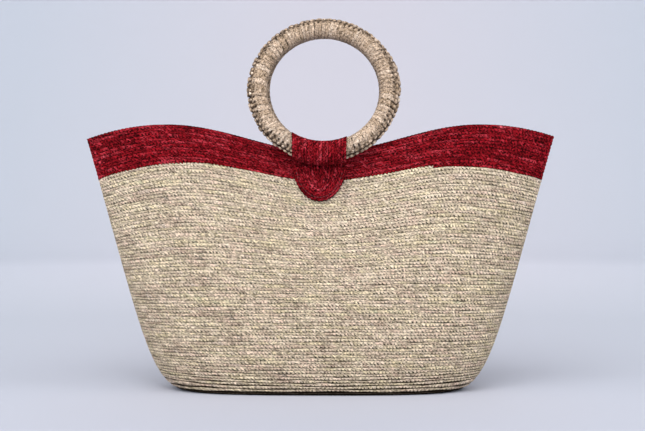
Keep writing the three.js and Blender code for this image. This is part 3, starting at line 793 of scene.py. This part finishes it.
# Body
WALL_NODES = ["wall_foot_courses", "wall_lower_courses", "wall_middle_courses", "wall_upper_courses"]
DYED_START_ANGLE = 1.5 * math.pi + 0.52
DYED_END_ANGLE = 0.72 * math.pi
WORN_RIGHT_START = 0.4
WORN_RIGHT = 0.1
WORN_LEFT_START = 0.5
WORN_LEFT = 0.02
WORN_RUN = 0.45


def first_dyed_course(course, round_share):
    """The red braid starts one course down, on the front right, and runs on round the right side."""
    angle = np.interp(round_share, np.linspace(0, 1, WALL_COLUMNS + 1), even_angles(WALL_COLUMNS))
    return (course == NODE_COURSES - 1) & ((angle > DYED_START_ANGLE) | (angle < DYED_END_ANGLE))


def worn_sides():
    """How much further the seams are open at each column, towards the two side folds."""
    across = np.cos(even_angles(WALL_COLUMNS))
    right = np.clip((across - WORN_RIGHT_START) / WORN_RUN, 0, 1)
    left = np.clip((-across - WORN_LEFT_START) / WORN_RUN, 0, 1)
    return WORN_RIGHT * right + WORN_LEFT * left


base = braided_shell("base_coil_braid", BASE_COURSES, base_surface(BASE_COLUMNS), BASE_SEAM_COURSE,
                     steps=(3, 2), centred=True, seed=1)
close_piece(base)
finish_piece(base, "bag", [PLAIN_PALM], "base_coil")

for place, wall_node in enumerate(WALL_NODES):
    top_node = place == len(WALL_NODES) - 1
    first = place * NODE_COURSES
    wall = braided_shell(wall_node + "_braid", NODE_COURSES, wall_surface(first, WALL_COLUMNS), first,
                         seed=10 + place, worn=worn_sides(), dyed=first_dyed_course if top_node else None)
    close_piece(wall)
    finish_piece(wall, "bag", [PLAIN_PALM, RED_PALM] if top_node else [PLAIN_PALM], wall_node)

band = braided_shell("rim_band_braid", BAND_COURSES, wall_surface(COURSE_COUNT, WALL_COLUMNS),
                     scallops=(0.3, 0.35), seed=20)
close_piece(band)
finish_piece(band, "bag", [RED_PALM], "rim_band")


# Handles: first the small beads that are copied, for the spine's knots and the tongue's stitches
BEAD_MAP_MARGIN = 0.1
BEAD_MAP_HEIGHT = 0.05
BEAD_SHADE_START = 0.5
BEAD_SHADE_FADE = 2.5
KNOT_HALF_SIZES = (2.9, 1.6, 1.3)
STITCH_HALF_SIZES = (1.5, 0.42, 0.4)


def copies(name, model, places):
    """One piece of many copies of a model, each with its own mesh and its own number in the braid map."""
    made = []
    for number, place in enumerate(places):
        copy = model.copy()
        copy.data = model.data.copy()
        copy.data.transform(place)
        spots = np.empty(len(copy.data.loops) * 2)
        copy.data.uv_layers["braid"].data.foreach_get("uv", spots)
        spots = spots.reshape(-1, 2)
        spots[:, 0] = number + BEAD_MAP_MARGIN + (1 - 2 * BEAD_MAP_MARGIN) * np.clip(spots[:, 0], 0, 1)
        spots[:, 1] = BEAD_MAP_HEIGHT * spots[:, 1]
        copy.data.uv_layers["braid"].data.foreach_set("uv", spots.ravel())
        bpy.context.scene.collection.objects.link(copy)
        made.append(copy)
    bpy.data.objects.remove(model)
    start_piece()
    for copy in made:
        copy.select_set(True)
    bpy.context.view_layer.objects.active = made[0]
    bpy.ops.object.join()
    made[0].name = name
    bpy.ops.object.shade_smooth()
    return made[0]


def rounded_bead(segments, rings, half_sizes):
    """A small rounded bead to copy, with painted shade marked on its ends, where it dips between its
    neighbours.
    """
    start_piece()
    bpy.ops.mesh.primitive_uv_sphere_add(segments=segments, ring_count=rings, radius=1)
    bead = bpy.context.object
    bead.data.transform(Matrix.Diagonal(Vector(half_sizes) * MM).to_4x4())
    bead.data.uv_layers[0].name = "braid"
    along = np.array([abs(vertex.co.x) for vertex in bead.data.vertices]) / (half_sizes[0] * MM)
    # painted shade marked on the bead's ends, where it dips between its neighbours
    ends = np.clip((along - BEAD_SHADE_START) * BEAD_SHADE_FADE, 0, 1)
    bead.data.attributes.new("openness_and_shade", "FLOAT", "POINT").data.foreach_set("value", ends)
    return bead


def frame_at(centre, along, out):
    """A placing matrix with X along a path and Z out of a face."""
    along = Vector(along).normalized()
    side = Vector(out).cross(along).normalized()
    out = along.cross(side)
    turn = Matrix((along, side, out)).transposed().to_4x4()
    return Matrix.Translation(Vector(centre) * MM) @ turn


# The ring's winding: uneven turns, holes beside the spine and a bed under it, with painted shade in the
# splits between the turns, in the holes and under the spine. The holes' angle and the spreads are degrees
# off the spine.
RING_TURNS = 84
SPINE_KNOTS = 84
TURN_WIDTHS = (0.5, 1.6)
TURN_FULLNESS = 0.7
TURN_SINK = 0.25
TURN_SWELL = 0.15
TURN_UNEVEN = 0.15
SPLIT_START = 0.6
SPLIT_DEPTH = 0.28
SPLIT_SHADE = 0.5
HOLE_ANGLE = 50
HOLE_SPREAD = 9
HOLE_NARROWNESS = 4.8
HOLE_SIZE = 0.75
HOLE_UNEVEN = 0.6
LEAST_HOLE = 0.3
HOLE_DEPTH = 1.2
HOLE_SHADE = 1.6
BED_HEIGHT = 1.3
BED_SPREAD = 20
BED_SHADE = 0.9
BED_SHADE_SPREAD = 36


def ring_winding(seed):
    """The strip wound round the ring: narrow turns of uneven width, each a little over the last, with a
    row of holes on either side of the spine where its knots pull the turns apart. It marks painted shade in
    the splits between the turns, in the holes and on the bed under the spine."""
    chance = np.random.default_rng(seed)
    edges = np.concatenate([[0], np.cumsum(chance.uniform(*TURN_WIDTHS, RING_TURNS))])
    share = np.linspace(0, 1, RING_COLUMNS + 1)
    turns = np.interp(share, edges / edges[-1], np.arange(RING_TURNS + 1))
    around = np.linspace(0, 1, RING_LINES + 1)[:, None]
    slanted = turns[None] + around
    number = np.floor(slanted).astype(int)
    uneven = chance.uniform(-1, 1, RING_TURNS)
    lift = (1 - around) * uneven[number % RING_TURNS] + around * uneven[(number - 1) % RING_TURNS]
    swell = np.sin(math.pi * (slanted - number)) ** TURN_FULLNESS
    split = np.clip(1 - swell, 0, 1) * np.clip(SPLIT_START + lift, 0, 1)
    off_spine = np.abs((around + 0.5) % 1 - 0.5) * 360
    off_knot = (share[None] * SPINE_KNOTS + 0.5) % 1 - 0.5
    hole = np.exp(-((off_spine - HOLE_ANGLE) / HOLE_SPREAD) ** 2 - (off_knot * HOLE_NARROWNESS) ** 2)
    hole = hole * np.clip(HOLE_SIZE + HOLE_UNEVEN * lift, LEAST_HOLE, 1)
    height = TURN_SWELL * swell + TURN_UNEVEN * lift - TURN_SINK - SPLIT_DEPTH * split - HOLE_DEPTH * hole
    height = height + BED_HEIGHT * np.exp(-(off_spine / BED_SPREAD) ** 2)
    # painted shade on the bed under the spine, and in the splits and holes
    shade_under_spine = BED_SHADE * np.exp(-(off_spine / BED_SHADE_SPREAD) ** 4)
    openness_and_shade = np.clip(SPLIT_SHADE * split + HOLE_SHADE * hole + shade_under_spine, 0, 1)
    radius = WRAP_OUTER_RADIUS + height
    reach = RING_RADIUS + radius * np.cos(TURN * around)
    along = TURN * share[None]
    x = reach * np.sin(along)
    y = radius * np.sin(TURN * around)
    z = -reach * np.cos(along)
    return on_ring(np.stack([x, y, z], axis=-1)), openness_and_shade, (turns[None], around[:, 0])


# The ring's spine, which is thickest on the right, where its ends meet
KNOT_SHIFT = 0.2
KNOT_SPREAD = (-0.2, 0.12)
KNOT_OUT = 1.6
LOBE_LAG = 0.3
LOBE_ANGLE = math.radians(28)
LOBE_SLANT = 0.75
LOBE_OUT = 0.55
JOIN_PLACE = 1.7
JOIN_LENGTH = 0.4
JOIN_THICKER = 0.3


def spine_places(seed):
    """Places of the spine's knots: a line of beads on the ring's outer edge, with a slanted lobe of the
    plait down either side of each."""
    chance = np.random.default_rng(seed)
    across = np.array([0, 1, 0])
    places = []
    for k in range(SPINE_KNOTS):
        for side in (-1, 0, 1):
            along = TURN * (k + LOBE_LAG * abs(side) + chance.uniform(-KNOT_SHIFT, KNOT_SHIFT)) / SPINE_KNOTS
            thick = 1 + JOIN_THICKER * math.exp(-((along - JOIN_PLACE) / JOIN_LENGTH) ** 4)
            thick = thick + chance.uniform(*KNOT_SPREAD)
            off = side * LOBE_ANGLE
            radius = WRAP_OUTER_RADIUS + (LOBE_OUT if side else KNOT_OUT) * thick
            outwards = np.array([math.sin(along), 0, -math.cos(along)])
            out = outwards * math.cos(off) + across * math.sin(off)
            down = across * math.cos(off) - outwards * math.sin(off)
            ahead = np.array([math.cos(along), 0, math.sin(along)]) + down * side * LOBE_SLANT
            spot = RING_RADIUS * outwards + radius * out
            centre = on_ring(spot)
            place = frame_at(centre, on_ring(spot + ahead) - centre, on_ring(spot + out) - centre)
            places.append(place @ Matrix.Scale(thick, 4))
    return places


# The tongue's stitches
STITCH_COUNT = 20
STITCH_SINK = 0.5
STITCH_STEP = 0.02


def stitch_places():
    """Places of the stitches that hold the tongue: a U inside its edge."""
    half_width = TAB_WIDTH / 2 - THREAD_INSET
    reach = TAB_DROP - TAB_BEND - THREAD_INSET
    start = math.asin((TAB_THROAT - TAB_BEND) / reach)
    places = []
    for middle in np.linspace(start, math.pi - start, STITCH_COUNT + 2)[1:-1]:
        around = middle + np.array([-STITCH_STEP, 0, STITCH_STEP])
        across = -half_width * np.cos(around)
        drop = TAB_BEND + reach * np.sin(around)
        out = THREAD_OUT - STITCH_SINK + TONGUE_CROWN * throat_swell(across, drop)
        before, here, after = front_points(across, drop, out)
        above = front_points(across[1], drop[1], out[1] + 1)
        places.append(frame_at(here, after - before, above - here))
    return places


def mirrored_to_rear(piece):
    """A copy of a front piece for the rear of the bag, with its own mesh and its faces outwards."""
    rear = piece.copy()
    rear.data = piece.data.copy()
    rear.name = piece.name.replace("front", "rear")
    rear.data.transform(Matrix.Scale(-1, 4, Vector((0, 1, 0))))
    rear.data.flip_normals()
    bpy.context.scene.collection.objects.link(rear)
    return rear


under_leaf_top = UNDER_LEAF_BELOW_RIM - LOOP_BELOW_RIM
under_leaf_surface = leaf_surface(UNDER_LEAF_INSET, UNDER_LEAF_OUT, UNDER_LEAF_COLUMNS, under_leaf_top)
under_leaf = braided_shell("front_tab_under_leaf_braid", TAB_COURSES, under_leaf_surface, steps=(3, 1),
                           centred=True, looped=False, seed=30)
close_piece(under_leaf, cap_ends=True)
tongue_surface = leaf_surface(
    0, OUTER_LEAF_OUT, TONGUE_COLUMNS, arch=TONGUE_ARCH, crown=TONGUE_CROWN, tuck=TONGUE_TUCK)
tongue = braided_shell("front_tab_tongue_braid", TAB_COURSES, tongue_surface, steps=(4, 1),
                       centred=True, looped=False, scallops=(0, 0.25), seed=31)
close_piece(tongue, cap_ends=True)
loop = braided_shell("front_tab_loop_braid", LOOP_COURSES, loop_surface(LOOP_COLUMNS), steps=(4, 1),
                     scallops=(-0.25, 0.25), seed=32)
close_piece(loop)
winding = grid_piece("front_ring_wrap_winding", *ring_winding(seed=40), np.zeros(RING_LINES, int))
close_piece(winding)
knot = rounded_bead(segments=8, rings=6, half_sizes=KNOT_HALF_SIZES)
spine = copies("front_ring_spine_knots", knot, spine_places(seed=41))
stitch = rounded_bead(segments=8, rings=5, half_sizes=STITCH_HALF_SIZES)
stitches = copies("front_tab_thread_stitches", stitch, stitch_places())

for piece, body, slot, look, solid in (
        (under_leaf, "bag", "red_palm", RED_PALM, "front_tab_under_leaf"),
        (tongue, "bag", "red_palm", RED_PALM, "front_tab_tongue"),
        (stitches, "bag", "red_thread", RED_THREAD, "front_tab_thread"),
        (loop, "front_loop", "red_palm", RED_PALM, "front_tab_loop"),
        (winding, "front_ring", "wound_palm", WOUND_PALM, "front_ring_wrap"),
        (spine, "front_ring", "wound_palm", WOUND_PALM, "front_ring_spine")):
    rear = mirrored_to_rear(piece)
    finish_piece(piece, body, [look], solid)
    finish_piece(rear, body.replace("front", "rear"), [look], solid.replace("front", "rear"))

for hoop in ("front_ring_hoop", "rear_ring_hoop"):
    frame["nodes"][hoop].data.materials.clear()
    frame["nodes"][hoop].data.materials.append(CANE)


# Studio
FLOOR_RADIUS = 2.4
CURVE_RADIUS = 0.9
WALL_HEIGHT = 2.4
FLOOR_COLUMNS = 120
FLOOR_LINES = 60
AIR_TONE = "#e6e8f4"
AIR_STRENGTH = 0.09


def studio_floor():
    """A round pale floor that curves up into a wall on every side."""
    start_piece()
    bpy.ops.mesh.primitive_grid_add(x_subdivisions=FLOOR_COLUMNS, y_subdivisions=FLOOR_LINES, size=1)
    floor = bpy.context.object
    floor.name = "studio_floor"
    curve_length = CURVE_RADIUS * TURN / 4
    for vertex in floor.data.vertices:
        angle = TURN * vertex.co.x
        way = (vertex.co.y + 0.5) * (FLOOR_RADIUS + curve_length + WALL_HEIGHT)
        bend = min(max(way - FLOOR_RADIUS, 0), curve_length) / CURVE_RADIUS
        past = max(0, way - FLOOR_RADIUS - curve_length)
        reach = min(way, FLOOR_RADIUS) + CURVE_RADIUS * math.sin(bend)
        height = CURVE_RADIUS * (1 - math.cos(bend)) + past
        vertex.co = (reach * math.cos(angle), reach * math.sin(angle), height)
    floor.data.materials.append(FLOOR_PAINT)
    close_piece(floor)


def soft_light(name, place, aim, size, power):
    """A square soft box that faces a point, unseen by the camera."""
    lamp = bpy.data.lights.new(name, "AREA")
    lamp.size = size
    lamp.energy = power
    made = bpy.data.objects.new(name, lamp)
    made.location = place
    made.visible_camera = False
    made.rotation_euler = (Vector(aim) - Vector(place)).to_track_quat("-Z", "Y").to_euler()
    bpy.context.scene.collection.objects.link(made)


studio_floor()
soft_light("key_soft_box", place=(-0.35, -2.05, 1.9), aim=(0, 0, 0.15), size=2.8, power=84)
soft_light("right_soft_box", place=(1.5, -0.6, 0.9), aim=(0.1, 0, 0.05), size=1.2, power=13)
soft_light("left_soft_box", place=(-1.5, -0.6, 0.9), aim=(-0.1, 0, 0.05), size=1.2, power=9)
soft_light("top_soft_box", place=(0.1, 0, 2.4), aim=(0, 0, 0.2), size=1.6, power=6)
soft_light("backdrop_soft_box", place=(0, 1.8, 1.3), aim=(0, 2.1, 0), size=2.4, power=13)

world = bpy.data.worlds.new("studio_air")
world.use_nodes = True
air = world.node_tree.nodes["Background"].inputs
air["Color"].default_value = linear(AIR_TONE)
air["Strength"].default_value = AIR_STRENGTH
bpy.context.scene.world = world
bpy.context.scene.view_settings.view_transform = "Standard"

# Camera: 1.7 m away, at the height of the rim, looking a little down
CAMERA_TURN = math.radians(0.9)
CAMERA_DISTANCE = 1.7
CAMERA_HEIGHT = 0.23
CAMERA_LENS = 94.0
SENSOR_WIDTH = 36
AIM_SIDE = 0.0025
AIM_HEIGHT = 0.1755
camera = bpy.data.cameras.new("camera")
camera.lens = CAMERA_LENS
camera.sensor_width = SENSOR_WIDTH
camera_place = bpy.data.objects.new("camera", camera)
side = Vector((math.cos(CAMERA_TURN), math.sin(CAMERA_TURN), 0)) * AIM_SIDE
eye = Vector((math.sin(CAMERA_TURN), -math.cos(CAMERA_TURN), 0)) * CAMERA_DISTANCE
camera_place.location = eye + side + Vector((0, 0, CAMERA_HEIGHT))
aim = side + Vector((0, 0, AIM_HEIGHT))
camera_place.rotation_euler = (aim - camera_place.location).to_track_quat("-Z", "Y").to_euler()
bpy.context.scene.collection.objects.link(camera_place)
bpy.context.scene.camera = camera_place
